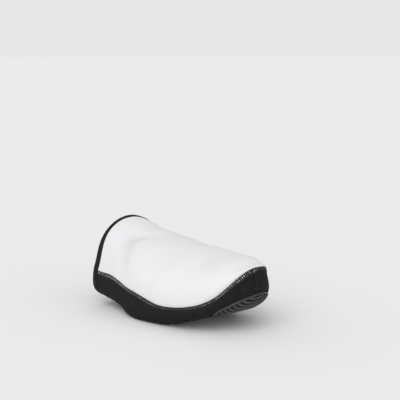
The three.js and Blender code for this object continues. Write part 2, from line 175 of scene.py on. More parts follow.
# Crease at the bottom of the upper panel's valley, from the seam to the ridge
CREASE = {
    "over": [0.06, 0.12, 0.17, 0.26, 0.3, 0.37, 0.43, 0.48],
    "along": [54.5, 51, 46.3, 41.5, 37.5, 37, 44.2, 49],
}
CREASE_LAYERS = {"depth": [2.0, 0.35], "width": [7, 3]}
CREASE_FADE = 0.3  # share of its length over which a crease or fold fades out at each end
CREASE_PAINTED_SHADE = {"amount": 0.36, "width": 6}  # painted shade: grey painted into the cloth at the bottom of the crease

# Folds of the black cloth, by the two ends of each on the rand
FOLDS = {
    "turn": [
        (-0.24, -0.06), (-0.74, -0.62), (-0.9, -0.78), (-0.6, -0.48), (0.78, 0.62), (0.5, 0.3)
    ],
    "down": [(0.27, 0.15), (0.5, 0.56), (0.66, 0.78), (0.72, 0.62), (0.5, 0.6), (0.25, 0.32)],
    "depth": [1.3, 1.2, 1.1, 0.7, 1.2, 1.0],
    "width": [1.3, 1.8, 1.8, 2.0, 2.0, 1.4],
}
FOLD_LIP = 0.8  # how far the cloth stands up beside a fold, as a share of the fold's depth
GATHERS = {"pitch": 7, "height": 0.14, "reach": 3}  # ripples of the cloth beside a seam

# ---- Stage ----

FLOOR_HALF = 30  # metres
FLOOR_TONE = 0.875
SKY_TONES = (0.8, 0.6)  # at the horizon and overhead
KEY_LIGHT = {"azimuth": -59, "elevation": 43, "spread": 58, "strength": 1.26}
CAMERA = {"lens": 87.2, "sensor": 36, "at": (0.6761, -0.5523, 0.2426), "dip": 8.796, "turn": 49.84}

# ---- Fineness ----

# How many places each mesh has along each of its ways
PLACES = {
    "upper_sides": 110,
    "upper_toe": 45,
    "upper_over": 150,
    "rand_sides": 130,
    "rand_toe": 59,
    "rand_past_tip": 7,
    "rand_down": 46,
    "pad_round": 221,
    "pad_down": 46,
    "pad_under": 49,
    "sole_side": 90,
    "sole_to_hole": 24,
    "tape_over": 160,
    "tape_down": 49,
    "tape_under": 48,
    "tape_round": 28,
    "seam_line": 500,
    "crease_path": 60,
    "fold_path": 80,
}
TOE_SPACING = 1.4  # how much closer together the places are towards the front of the toe
EDGE_BLEND = 0.03  # share of the panel over which its normals turn level with the rand's
STEP = 1e-3  # for slopes
FLOOR_CLEARANCE = 0.05
MERGE_DISTANCE = 2e-5  # metres
SHARP_ANGLE = 50
SKIN_START = BINDING["width"] + GAP
PAD_BACK = LENGTH * (1 - PAD_REACH**2)


# ---- Small helpers ----


def ease(t):
    """From 0 to 1 with a level start and end."""
    t = np.clip(t, 0, 1)
    return t * t * (3 - 2 * t)


def lerp(a, b, t):
    return a + (b - a) * t


def unit(vectors):
    return vectors / np.maximum(np.linalg.norm(vectors, axis=-1, keepdims=True), 1e-12)


def closer_at_ends(count, amount=0.85):
    """Shares from 0 to 1 that lie closer together near both ends."""
    t = np.linspace(0, 1, count)
    return t - amount * np.sin(2 * np.pi * t) / (2 * np.pi)


def table_value(table, key, column, at):
    """Smooth curve through the rows of a table."""
    keys = np.array(table[key], float)
    values = np.array(table[column], float)
    spans = np.diff(keys)
    chords = np.diff(values) / spans
    inner = (chords[:-1] * spans[1:] + chords[1:] * spans[:-1]) / (spans[:-1] + spans[1:])
    slopes = np.concatenate([chords[:1], inner, chords[-1:]])
    at = np.clip(at, keys[0], keys[-1])
    row = np.clip(np.searchsorted(keys, at) - 1, 0, len(spans) - 1)
    t = (at - keys[row]) / spans[row]
    value = lerp(values[row], values[row + 1], ease(t))
    return value + spans[row] * t * (1 - t) * ((1 - t) * slopes[row] - t * slopes[row + 1])


def superellipse(angle, fullness):
    """Point of a unit superellipse in the first quarter, as (across, up)."""
    c, s = np.abs(np.cos(angle)), np.abs(np.sin(angle))
    radius = (c**fullness + s**fullness) ** (-1 / fullness)
    return radius * c, radius * s


# ---- The skin ----


def turn_at(x):
    """Turn round the cover at a length from the rear edge: 1 there and 0 at the tip. On the lateral
    side a turn is negative."""
    return np.sqrt(1 - np.asarray(x) / LENGTH)


def turns_to_tip(sides, toe):
    """Turns from the rear edge to the tip, closer together round the toe."""
    beside = turn_at(np.linspace(SKIN_START, PAD_BACK, sides))
    front = PAD_REACH * (1 - np.linspace(0, 1, toe + 1)[1:] ** TOE_SPACING)
    return np.concatenate([beside, front])


def sole_line(x):
    """Height of the sole, with the arch behind and the toe spring in front."""
    spring = np.clip((x - TOE_SPRING["start"]) / (LENGTH - TOE_SPRING["start"]), 0, 1)
    arch = np.maximum(0, table_value(ARCH_LINE, "x", "height", x))
    return arch + TOE_SPRING["rise"] * spring ** TOE_SPRING["power"]


def half_width(side, x):
    """Distance from the middle line to one side's widest outline."""
    growth = np.sin(np.clip(x / side["widest_at"], 0, 1) * np.pi / 2) ** WIDTH_GROWTH
    rear = lerp(side["rear"], side["widest"], growth)
    q = np.clip((x - side["widest_at"]) / (LENGTH - side["widest_at"]), 0, 1)
    tip = side["sign"] * TOE_TIP_Y
    front = tip + (side["widest"] - tip) * (1 - q ** side["fullness"]) ** (1 / side["fullness"])
    return np.where(x < side["widest_at"], rear, front)


def outline(turn):
    """Widest outline seen from above."""
    x = LENGTH * (1 - turn**2)
    y = np.where(turn < 0, -half_width(LATERAL, x), half_width(MEDIAL, x))
    return np.stack([x, y, np.zeros_like(x)], axis=-1)


def inboard(edge):
    """Level direction from the outline to the middle of the cover."""
    x = edge[..., 0]
    middle = [np.minimum(x, TOE_CENTRE_X), TOE_TIP_Y * ease(x / TOE_CENTRE_X), np.zeros_like(x)]
    return unit(np.stack(middle, axis=-1) - edge)


def seam_height(turn, x):
    lateral = table_value(SECTIONS, "x", "lateral_seam", x)
    return np.where(turn < 0, lateral, table_value(SECTIONS, "x", "medial_seam", x))


def rand_point(turn, down):
    """Rand and its turned-under edge: down is 0 at the seam and 1 on the flat sole."""
    turn, down = np.broadcast_arrays(np.asarray(turn, float), np.asarray(down, float))
    edge = outline(turn)
    x = edge[..., 0]
    across, up = superellipse(down * np.pi / 2, table_value(RAND, "x", "fullness", x))
    drop = np.clip(up, 0, 1)
    inset = table_value(RAND, "x", "turn_under", x) * (1 - across)
    inset = inset + table_value(RAND, "x", "seam_inboard", x) * ease(1 - drop)
    point = edge + inboard(edge) * inset[..., None]
    point[..., 2] = seam_height(turn, x) * (1 - drop) + sole_line(point[..., 0])
    return point


def valley_depth(x, across):
    centre = table_value(VALLEY, "across", "centre", across)
    depth = table_value(VALLEY, "across", "depth", across)
    return depth * np.exp(-(((x - centre) / VALLEY_WIDTH) ** 2))


def upper_point(along, over):
    """Upper panel: along is measured from the rear edge, over is 0 and 1 on the two seams."""
    along, over = np.broadcast_arrays(np.asarray(along, float), np.asarray(over, float))
    turn = turn_at(along)
    left, right = rand_point(-turn, 0), rand_point(turn, 0)
    reach, up = superellipse(over * np.pi, table_value(SECTIONS, "x", "fullness", along))
    waist = table_value(SECTIONS, "x", "waist", along) * WAIST_SCALE * up * (1 - up) ** 3
    reach = reach * (1 - waist)
    across = np.where(over < 0.5, -reach, reach)
    just_lateral = -turn - 1e-12  # also at the tip, where the turn is 0
    low, high = seam_height(just_lateral, along), seam_height(turn, along)
    nose = np.sqrt(1 - np.clip(1 - (LENGTH - along) / NOSE_LENGTH, 0, 1) ** 2)
    arch = (table_value(SECTIONS, "x", "ridge", along) - (low + high) / 2) * nose
    share = (across + 1) / 2
    point = lerp(left, right, share[..., None])
    point[..., 1] += table_value(SECTIONS, "x", "shift", along) * nose * nose * up
    point[..., 2] = lerp(low, high, share) + arch * up + sole_line(point[..., 0])
    point[..., 2] += GAP * (1 - up * nose) - valley_depth(along, across) * up
    return point


def normal_of(surface, a, b, a_range, b_range):
    """Normal of a surface with two coordinates, from small steps inside their ranges."""
    a0, a1 = np.maximum(a - STEP / 2, a_range[0]), np.minimum(a + STEP / 2, a_range[1])
    b0, b1 = np.maximum(b - STEP, b_range[0]), np.minimum(b + STEP, b_range[1])
    first = surface(a1, b) - surface(a0, b)
    second = surface(a, b1) - surface(a, b0)
    return unit(np.cross(first, second))


def rand_normal(turn, down):
    turn, down = np.broadcast_arrays(np.asarray(turn, float), np.asarray(down, float))
    return -normal_of(rand_point, turn, down, (-1, 1), (0, 1))


def upper_normal(along, over):
    """Square to the panel, but level with the rand's normal along the seams and at the tip."""
    along, over = np.broadcast_arrays(np.asarray(along, float), np.asarray(over, float))
    turn = turn_at(along)
    level = unit(lerp(rand_normal(-turn, 0), rand_normal(turn, 0), over[..., None]))
    square = normal_of(upper_point, along, over, (0, LENGTH), (0, 1))
    tip = ease((LENGTH - along) / TIP_BLEND)
    edge = ease(np.minimum(over, 1 - over) / EDGE_BLEND)
    return unit(lerp(level, square, (tip * edge)[..., None]))


def sole_normal(x):
    slope = (sole_line(x + STEP) - sole_line(x - STEP)) / (2 * STEP)
    return unit(np.stack([slope, np.zeros_like(slope), -np.ones_like(slope)], axis=-1))


def binding_width(over):
    return table_value(BINDING_WIDTHS, "over", "width", over)


def pad_edge_down(turn):
    """Where the rand ends: on the pad, or on the flat sole beside it."""
    down = table_value(PAD_EDGE, "turn", "down", turn)
    return np.where(np.abs(turn) >= PAD_REACH, 1, down)


def shift_down(turn, down, length):
    """Moves a place down a wall by a small length along the surface."""
    reach = np.linalg.norm(rand_point(turn, down) - rand_point(turn, down - STEP), axis=-1)
    return down + length / reach * STEP


# ---- Meshes ----


def packed_offset():
    """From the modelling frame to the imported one, by the box of the lateral rand."""
    turns = -turn_at(np.linspace(SKIN_START, LENGTH, 400))
    turn, down = np.meshgrid(turns, np.linspace(0, 1, 60))
    points = rand_point(turn, down).reshape(-1, 3)
    box = np.array([list(corner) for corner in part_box("rand_lateral")]) * 1000
    offset = box[0] - points.min(axis=0)
    offset[2] = 0
    return offset


OFFSET = packed_offset()


def distances(points, axis):
    """Lengths along a grid from its first line, measured on the surface."""
    steps = np.linalg.norm(np.diff(points, axis=axis), axis=-1)
    start = np.zeros_like(steps.take([0], axis=axis))
    return np.concatenate([start, np.cumsum(steps, axis=axis)], axis=axis)


def mesh_object(name, points, faces, materials, face_materials=None, values=None):
    """An object from points in the modelling frame, with merged doubles and smooth faces. What
    would reach into the floor is pressed flat on it."""
    mesh = bpy.data.meshes.new(name)
    packed = points + OFFSET
    packed[:, 2] = np.maximum(packed[:, 2], FLOOR_CLEARANCE)
    mesh.from_pydata((packed / 1000).tolist(), [], faces)
    for key, value in (values or {}).items():
        vector = value.ndim == 2
        layer = mesh.attributes.new(key, "FLOAT_VECTOR" if vector else "FLOAT", "POINT")
        layer.data.foreach_set("vector" if vector else "value", value.ravel())
    for material in materials:
        mesh.materials.append(material)
    if face_materials is not None:
        mesh.polygons.foreach_set("material_index", face_materials)
    edit = bmesh.new()
    edit.from_mesh(mesh)
    bmesh.ops.remove_doubles(edit, verts=edit.verts, dist=MERGE_DISTANCE)
    bmesh.ops.dissolve_degenerate(edit, edges=edit.edges, dist=MERGE_DISTANCE)
    bmesh.ops.recalc_face_normals(edit, faces=edit.faces)
    edit.to_mesh(mesh)
    edit.free()
    mesh.polygons.foreach_set("use_smooth", [True] * len(mesh.polygons))
    mesh.set_sharp_from_angle(angle=math.radians(SHARP_ANGLE))
    piece = bpy.data.objects.new(name, mesh)
    bpy.context.collection.objects.link(piece)
    return piece


def grid_faces(index, flip=False):
    """Four-sided faces of a grid of point numbers."""
    corners = [index[:-1, :-1], index[1:, :-1], index[1:, 1:], index[:-1, 1:]]
    if flip:
        corners.reverse()
    return np.stack([corner.ravel() for corner in corners], axis=-1).tolist()


def shell(name, points, normals, wall, relief, materials, values, ring=False, lap=0.0):
    """A wall with an outer face lifted by the relief and an inner face that follows its grooves.
    The first material is outside and the last one inside and on the rims. The lap moves places of
    the inner face, so that an edge reaches behind the next piece."""
    rows, columns = points.shape[:2]
    relief = np.broadcast_to(relief, (rows, columns))[..., None]
    outer = points + normals * relief
    inner = points + normals * (np.minimum(relief, 0) - wall) + lap
    index = np.arange(rows * columns).reshape(rows, columns)
    if ring:
        index = np.concatenate([index, index[:, :1]], axis=1)
    under = index + rows * columns
    rims = [np.stack([index[0], under[0]]), np.stack([under[-1], index[-1]])]
    if not ring:
        rims += [np.stack([under[:, 0], index[:, 0]]), np.stack([index[:, -1], under[:, -1]])]
    outside = grid_faces(index)
    inside = grid_faces(under, flip=True)
    sides = [face for rim in rims for face in grid_faces(rim)]
    faces = outside + inside + sides
    slots = [0] * len(outside) + [len(materials) - 1] * (len(inside) + len(sides))
    both = {}
    for key, value in values.items():
        flat = value.reshape(rows * columns, -1)
        both[key] = np.concatenate([flat, flat]).squeeze()
    all_points = np.concatenate([outer.reshape(-1, 3), inner.reshape(-1, 3)])
    return mesh_object(name, all_points, faces, materials, slots, both)


def cloth_map(points):
    """Place of every point on the flat cloth in millimetres, for weaves."""
    along = distances(points, 0)
    across = distances(points, 1)
    across = across - across[:, across.shape[1] // 2][:, None]
    return np.stack([along, across, np.zeros_like(along)], axis=-1)


def seam_dip(distance):
    """Relief of a seam, by the distance from it."""
    return -SEAM_DIP["depth"] * np.exp(-((distance / SEAM_DIP["width"]) ** 2))


def crease(points, path, depth, width, lip=0.0):
    """A soft groove of a depth and half width along a path, with raised lips beside it. It fades
    out at both ends."""
    groove = np.full(points.shape[:2], 1e-9)  # above 0, for its logarithm
    for t, centre in zip(np.linspace(0, 1, len(path)), path):
        fade = ease(min(t, 1 - t) / CREASE_FADE)
        spread = np.sum((points - centre) ** 2, axis=-1) / width**2
        groove = np.maximum(groove, fade * np.exp(-spread))
    return -depth * groove * (1 + lip * np.log(groove))


def gathers(along, to_edge):
    """Small uneven ripples where the cloth is eased into a seam."""
    phase = 2 * np.pi * along / GATHERS["pitch"]
    ripple = np.sin(phase) + 0.6 * np.sin(1.7 * phase + 1)
    away = to_edge / GATHERS["reach"]
    return GATHERS["height"] * ripple * away * np.exp(1 - away)


def threads(name, starts, ends, normals, radius, rise, material, values=None, sides=6, bends=5):
    """Short raised threads, thinner at their ends, one from each start to each end."""
    t = np.linspace(0, 1, bends)
    path = lerp(starts[:, None], ends[:, None], t[None, :, None])
    lift = rise * np.sin(np.pi * t) - radius * THREAD_SINK
    path = path + normals[:, None] * lift[None, :, None]
    along = unit(ends - starts)
    across = unit(np.cross(along, normals))
    angle = np.arange(sides) / sides * 2 * np.pi
    thickness = radius * np.sqrt(np.clip(1 - (2 * t - 1) ** 4, 0.1, 1))
    circle = across[:, None] * np.cos(angle)[:, None] + normals[:, None] * np.sin(angle)[:, None]
    points = path[:, :, None] + circle[:, None] * thickness[None, :, None, None]
    index = np.arange(points[..., 0].size).reshape(points.shape[:3])
    faces = []
    for stitch in index:
        faces += grid_faces(np.concatenate([stitch, stitch[:, :1]], axis=1))
        faces += [stitch[0].tolist(), stitch[-1, ::-1].tolist()]
    each = {key: np.repeat(value, bends * sides) for key, value in (values or {}).items()}
    return mesh_object(name, points.reshape(-1, 3), faces, [material], None, each)


def even_places(points, pitch):
    """Places along a line of points at an even pitch, as fractional indices."""
    length = np.concatenate([[0], np.cumsum(np.linalg.norm(np.diff(points, axis=0), axis=1))])
    count = int(length[-1] / pitch)
    return np.interp(np.linspace(0, length[-1], count + 1), length, np.arange(len(points)))


def resample(points, places):
    """Points of a line at fractional indices."""
    index = np.arange(len(points))
    return np.stack([np.interp(places, index, points[:, k]) for k in range(3)], axis=-1)


# ---- Materials ----


class Surface:
    """A principled material with short calls for its nodes."""

    def __init__(self, name, color, roughness, **inputs):
        self.material = bpy.data.materials.new(name)
        self.material.use_nodes = True
        self.material.diffuse_color = (*color, 1)
        self.tree = self.material.node_tree
        self.shader = self.tree.nodes["Principled BSDF"]
        self.shader.inputs["Base Color"].default_value = (*color, 1)
        self.shader.inputs["Roughness"].default_value = roughness
        for key, value in inputs.items():
            self.shader.inputs[key.replace("_", " ")].default_value = value

    def node(self, kind, values=None, **settings):
        """A new node, with a socket or a plain value for each input that is given."""
        node = self.tree.nodes.new("ShaderNode" + kind)
        for key, value in settings.items():
            setattr(node, key, value)
        for key, value in (values or {}).items():
            if isinstance(value, bpy.types.NodeSocket):
                self.tree.links.new(value, node.inputs[key])
            else:
                node.inputs[key].default_value = value
        return node

    def attribute(self, name, output="Fac"):
        return self.node("Attribute", attribute_name=name).outputs[output]

    def position(self):
        return self.node("TexCoord").outputs["Object"]

    def noise(self, vector, size, detail=3):
        """Noise with lumps of a size, in the units of its vector."""
        values = {"Vector": vector, "Scale": 1 / size, "Detail": detail}
        return self.node("TexNoise", values).outputs["Fac"]

    def math(self, operation, a, b=0.0):
        return self.node("Math", {0: a, 1: b}, operation=operation).outputs[0]

    def remap(self, value, low, high, to_low, to_high):
        """A value moved from one range to another, and held inside it."""
        values = {"Value": value, 1: low, 2: high, 3: to_low, 4: to_high}
        return self.node("MapRange", values).outputs[0]

    def waves(self, vector, pitch, direction):
        """Even ripples with a pitch, one after another along X or Y."""
        values = {"Vector": vector, "Scale": math.pi / 10 / pitch}
        return self.node("TexWave", values, bands_direction=direction).outputs["Fac"]

    def mix(self, share, a, b):
        """Colour between two colours or sockets."""
        node = self.node("Mix", {0: share}, data_type="RGBA")
        for slot, value in ((6, a), (7, b)):
            if isinstance(value, bpy.types.NodeSocket):
                self.tree.links.new(value, node.inputs[slot])
            else:
                node.inputs[slot].default_value = (*value, 1)
        return node.outputs[2]

    def weave(self, vector, pitch):
        """Height of a plain weave."""
        warp = self.waves(vector, pitch, "X")
        weft = self.waves(vector, pitch, "Y")
        black, white = (0, 0, 0, 1), (1, 1, 1, 1)
        values = {"Vector": vector, "Scale": 1 / pitch, "Color1": black, "Color2": white}
        checks = self.node("TexChecker", values).outputs["Fac"]
        return self.node("Mix", {0: checks, 2: warp, 3: weft}).outputs[0]

    def bump(self, height, depth, strength=1.0, under=None):
        """Bump with a depth in millimetres."""
        values = {"Height": height, "Distance": depth / 1000, "Strength": strength}
        if under is not None:
            values["Normal"] = under
        return self.node("Bump", values).outputs[0]

    def finish(self, color=None, roughness=None, normal=None):
        sockets = {"Base Color": color, "Roughness": roughness, "Normal": normal}
        for key, socket in sockets.items():
            if socket is not None:
                self.tree.links.new(socket, self.shader.inputs[key])
        return self.material


def white_laminate():
    """Coated white cloth with a fine smooth face, a little grey at the seams, and painted shade in
    the crease.
    """
    s = Surface("white laminate", (0.785, 0.785, 0.80), 0.55, Specular_IOR_Level=0.3)
    cloth = s.attribute("cloth", "Vector")
    clouds = s.noise(cloth, 28, 4)
    color = s.mix(s.remap(clouds, 0.35, 0.7, 0, 1), (0.775, 0.775, 0.79), (0.80, 0.80, 0.815))
    uneven = s.remap(s.noise(cloth, 4), 0.3, 0.7, 0.1, 0.5)
    grime = s.math("MULTIPLY", s.attribute("edge"), uneven)
    color = s.mix(grime, color, (0.55, 0.55, 0.56))
    # Painted shade: the colour is painted grey at the bottom of the crease.
    color = s.mix(s.attribute("painted_crease_shade"), color, (0.55, 0.55, 0.555))
    roughness = s.remap(s.noise(cloth, 9), 0.3, 0.7, 0.5, 0.64)
    soft = s.bump(s.noise(cloth, 6, 2), 0.12, 0.5)
    fine = s.bump(s.weave(cloth, 0.7), 0.03, 0.5, soft)
    return s.finish(color, roughness, fine)


def black_cloth():
    """Stretch cloth with a coarse matt weave, rubbed a little lighter here and there."""
    s = Surface("black cloth", (0.014, 0.014, 0.015), 0.85, Specular_IOR_Level=0.12)
    cloth = s.attribute("cloth", "Vector")
    weave = s.weave(cloth, 1.0)
    color = s.mix(weave, (0.007, 0.007, 0.008), (0.017, 0.017, 0.018))
    rubbed = s.remap(s.noise(cloth, 7, 4), 0.5, 0.8, 0, 0.5)
    color = s.mix(rubbed, color, (0.026, 0.026, 0.027))
    specks = s.remap(s.noise(cloth, 1.4, 3), 0.5, 0.75, 0, 0.7)
    color = s.mix(specks, color, (0.030, 0.030, 0.031))
    soft = s.bump(s.noise(cloth, 5, 2), 0.35, 0.6)
    fine = s.bump(weave, 0.12, 0.8, soft)
    return s.finish(color, s.remap(weave, 0, 1, 0.9, 0.75), fine)


def black_rubber():
    """Moulded rubber, rubbed lighter on the ribs, painted dark in the grooves as painted shade,
    dusty in places.
    """
    s = Surface("black rubber", (0.03, 0.03, 0.032), 0.6, Specular_IOR_Level=0.25)
    skin = s.attribute("cloth", "Vector")
    high = s.attribute("high")
    # Rubbed wear lightens the ribs and the welt; painted shade darkens the grooves between the
    # ribs.
    color = s.mix(s.remap(high, 0.2, 1, 0, 1), (0.003, 0.003, 0.004), (0.11, 0.11, 0.113))
    dust = s.math("MULTIPLY", s.remap(s.noise(skin, 5, 5), 0.45, 0.75, 0, 0.4), high)
    color = s.mix(dust, color, (0.10, 0.10, 0.10))
    roughness = s.remap(s.noise(skin, 3), 0.3, 0.7, 0.52, 0.7)
    return s.finish(color, roughness, s.bump(s.noise(skin, 0.5, 3), 0.06, 0.6))


def black_tape():
    """Elastic binding tape with fine ribs along it."""
    s = Surface("black tape", (0.014, 0.014, 0.015), 0.8, Specular_IOR_Level=0.12)
    cloth = s.attribute("cloth", "Vector")
    ribs = s.waves(cloth, 1.1, "Y")
    weft = s.waves(cloth, 0.8, "X")
    height = s.math("ADD", ribs, s.math("MULTIPLY", weft, 0.4))
    color = s.mix(ribs, (0.008, 0.008, 0.009), (0.022, 0.022, 0.023))
    return s.finish(color, None, s.bump(height, 0.15, 0.8))


def brushed_lining():
    """Dark brushed knit on the inside."""
    s = Surface("brushed lining", (0.05, 0.05, 0.052), 0.95, Specular_IOR_Level=0.1)
    cloth = s.attribute("cloth", "Vector")
    fluff = s.noise(cloth, 1.6, 5)
    color = s.mix(fluff, (0.022, 0.022, 0.024), (0.065, 0.065, 0.068))
    ribs = s.waves(cloth, 1.8, "Y")
    height = s.math("ADD", fluff, s.math("MULTIPLY", ribs, 0.5))
    return s.finish(color, None, s.bump(height, 0.4, 0.7))


def reflective_thread():
    """Grey glass-bead thread, painted lighter along stretches of the seam as a painted glint."""
    s = Surface("reflective thread", (0.35, 0.35, 0.36), 0.4, Specular_IOR_Level=0.4)
    position = s.position()
    uneven = s.remap(s.noise(position, 0.0025, 2), 0.42, 0.6, 0.1, 1.2)
    # Painted glint: the colour is painted lighter where the thread catches the light, unevenly
    # along it.
    painted_glint = s.math("MULTIPLY", s.attribute("painted_glint"), uneven)
    twist = s.bump(s.noise(position, 0.0005, 1), 0.05, 0.5)
    return s.finish(s.mix(painted_glint, (0.03, 0.03, 0.031), (0.6, 0.6, 0.61)), None, twist)


def black_thread():
    """Sewing thread with a twist."""
    s = Surface("black thread", (0.025, 0.025, 0.026), 0.7, Specular_IOR_Level=0.2)
    position = s.position()
    color = s.mix(s.noise(position, 0.004, 2), (0.012, 0.012, 0.013), (0.04, 0.04, 0.042))
    return s.finish(color, None, s.bump(s.noise(position, 0.0005, 1), 0.05, 0.5))


def floor_paper():
    """Pale seamless paper."""
    s = Surface("floor paper", (0.86, 0.86, 0.86), 0.9, Specular_IOR_Level=0.0)
    tone = s.noise(s.position(), 0.25, 2)
    darker, lighter = (FLOOR_TONE - 0.003,) * 3, (FLOOR_TONE + 0.003,) * 3
    return s.finish(s.mix(tone, darker, lighter))


# ---- Pieces ----

WHITE = white_laminate()
CLOTH = black_cloth()
RUBBER = black_rubber()
TAPE = black_tape()
LINING = brushed_lining()
REFLECTIVE = reflective_thread()
BLACK_THREAD = black_thread()


def upper_panel():
    """White panel with its crease, from the binding to the tip."""
    turns = turns_to_tip(PLACES["upper_sides"], PLACES["upper_toe"])
    over = closer_at_ends(PLACES["upper_over"])
    station = (LENGTH * (1 - turns**2))[:, None]
    back = BINDING["width"] - binding_width(over)[None, :]
    along = station - back * ease(1 - (station - SKIN_START) / BINDING_BLEND)
    points = upper_point(along, over[None, :])
    normals = upper_normal(along, over[None, :])
    across = distances(points, 1)
    to_seam = np.minimum(across, across[:, -1:] - across)
    relief = seam_dip(to_seam) * ease((LENGTH - along) / TIP_FLAT)
    line = np.linspace(CREASE["over"][0], CREASE["over"][-1], PLACES["crease_path"])
    path = upper_point(table_value(CREASE, "over", "along", line), line)
    for depth, width in zip(*CREASE_LAYERS.values()):
        relief = relief + crease(points, path, depth, width)
    # Painted shade: how much grey is painted into the cloth along the bottom of the crease.
    painted_crease_shade = -crease(points, path, CREASE_PAINTED_SHADE["amount"], CREASE_PAINTED_SHADE["width"])
    edge = np.exp(-to_seam / SEAM_GRIME)
    values = {"cloth": cloth_map(points), "edge": edge, "painted_crease_shade": painted_crease_shade}
    lap = np.zeros_like(points)
    lap[:, [0, -1], 2] = -SEAM_LAP
    lap[-1, :, 2] = -SEAM_LAP
    name, materials = "upper_panel_cloth", [WHITE, LINING]
    return shell(name, points, normals, CLOTH_WALL, relief, materials, values, lap=lap)


def rand(name, turns):
    """One side of the rand, from its rear edge to the front seam."""
    turns = turns[:, None]
    down = closer_at_ends(PLACES["rand_down"])[None, :] * pad_edge_down(turns)
    points = rand_point(turns, down)
    normals = rand_normal(turns, down)
    depth = distances(points, 1)
    along = distances(points, 0)
    to_front = along[-1:] - along
    relief = seam_dip(depth) + seam_dip(depth[:, -1:] - depth)
    relief = relief + seam_dip(to_front) * (1 + FRONT_DIP / SEAM_DIP["depth"])
    for ends, drops, deep, width in zip(*FOLDS.values()):
        count = PLACES["fold_path"]
        path = rand_point(np.linspace(*ends, count), np.linspace(*drops, count))
        relief = relief + crease(points, path, deep, width, lip=FOLD_LIP)
    relief = relief + gathers(along, depth[:, -1:] - depth)
    lateral = turns[-1] < 0
    if lateral:
        tape = ease((FRONT_TAPE["width"] - to_front) / FRONT_TAPE["edge"])
        reach = table_value(THREAD_GLINT_AND_REACH, "turn", "reach", turns)
        under_stitches = ease((depth - reach) / FRONT_TAPE["edge"])
        relief = relief + FRONT_TAPE["height"] * tape * under_stitches
    values = {"cloth": cloth_map(points)}
    return shell(name, points, normals, CLOTH_WALL, relief, [CLOTH, LINING], values)


def rand_turns():
    """Turns along the lateral and the medial rand, with the gap at the front seam. The medial one
    goes past the tip."""
    turns = turns_to_tip(PLACES["rand_sides"], PLACES["rand_toe"])
    reach = np.linalg.norm(outline(np.array(FRONT_SEAM)) - outline(np.array(FRONT_SEAM + STEP)))
    gap = STEP * GAP / 2 / reach
    lateral = -turns[turns > -FRONT_SEAM + 2 * gap]
    past_tip = np.linspace(0, FRONT_SEAM + gap, PLACES["rand_past_tip"] + 1)[1:]
    return np.append(lateral, FRONT_SEAM - gap), np.concatenate([turns, past_tip])


def pad_rear_point(t, forward):
    """Bowed rear edge of the pad under the sole, moved forward by a length."""
    ends = rand_point(-PAD_REACH, 1), rand_point(PAD_REACH, 1)
    point = lerp(ends[0], ends[1], np.asarray(t)[..., None])
    point[..., 0] += forward - PAD_REAR_BULGE * 4 * t * (1 - t)
    point[..., 2] = sole_line(point[..., 0])
    return point


def rib_height(plan):
    """Crescent ribs across the unrolled pad, from 0 in a groove to 1 on a rib."""
    across = (plan[..., 1] - RIBS["middle"]) / RIBS["half_width"]
    phase = (plan[..., 0] - RIBS["bow"] * across**2) / RIBS["pitch"]
    return ease(RIBS["fullness"] + RIBS["steepness"] * np.cos(2 * np.pi * phase))


def toe_pad():
    """Ribbed pad with its welt, up the toe and under the sole. Its inner face is level with that
    of the cloth."""
    turns = PAD_REACH * np.sin(np.linspace(-1, 1, PLACES["pad_round"]) * np.pi / 2)
    start = shift_down(turns, pad_edge_down(turns), PAD_GAP)
    down = lerp(start[None, :], 1, np.linspace(0, 1, PLACES["pad_down"])[:, None])
    wall = rand_point(turns[None, :], down)
    wall_normals = rand_normal(turns[None, :], np.minimum(down, 1))
    share = (turns / PAD_REACH + 1) / 2
    rear = pad_rear_point(lerp(PAD_CORNER, 1 - PAD_CORNER, share), GAP)
    under = lerp(wall[-1], rear, np.linspace(0, 1, PLACES["pad_under"] + 1)[1:, None, None])
    under[..., 2] = sole_line(under[..., 0])
    points = np.concatenate([wall, under])
    normals = np.concatenate([wall_normals, sole_normal(under[..., 0])])
    to_top = distances(points, 0)
    to_edge = np.minimum(to_top, to_top[-1:] - to_top)
    out = -inboard(outline(turns))
    climb = distances(wall[::-1], 0)[::-1]
    ribs = rib_height(np.concatenate([wall[-1] + out * climb[..., None], under]))
    bead = np.sqrt(np.clip(1 - (2 * to_edge / WELT["width"] - 1) ** 2, 0, 1))
    inside = ease((to_edge - WELT["width"]) / WELT["foot"])
    lift = np.maximum(bead * WELT["height"], RIBS["base"] + ribs * RIBS["height"] * inside)
    # The high places carry rubbed wear; the low ones carry painted shade in the grooves.
    values = {"cloth": cloth_map(points), "high": np.maximum(bead, ribs * inside * RIB_WEAR)}
    lap = np.zeros_like(points)
    lap[0] = unit(points[0] - points[1]) * PAD_LAP
    name, materials = "toe_pad_rubber", [RUBBER, LINING]
    return shell(name, points, normals, CLOTH_WALL, lift, materials, values, lap=lap)


def sole_boundary(count):
    """Outline of the sole panel: lateral side, pad, medial side and rear edge."""

    def side(start, end, sign):
        edge = outline(sign * turn_at(np.linspace(start, end, count)))
        inset = table_value(RAND, "x", "turn_under", edge[:, 0]) + SEWN_GAP
        return edge + inboard(edge) * inset[:, None]

    lateral = side(SKIN_START, PAD_BACK, -1)
    medial = side(PAD_BACK, SKIN_START, 1)
    front = pad_rear_point(np.linspace(0, 1, count)[1:-1], 0)
    rear = lerp(medial[-1], lateral[0], np.linspace(0, 1, count // 2)[1:-1, None])
    return np.concatenate([lateral, front, medial, rear])


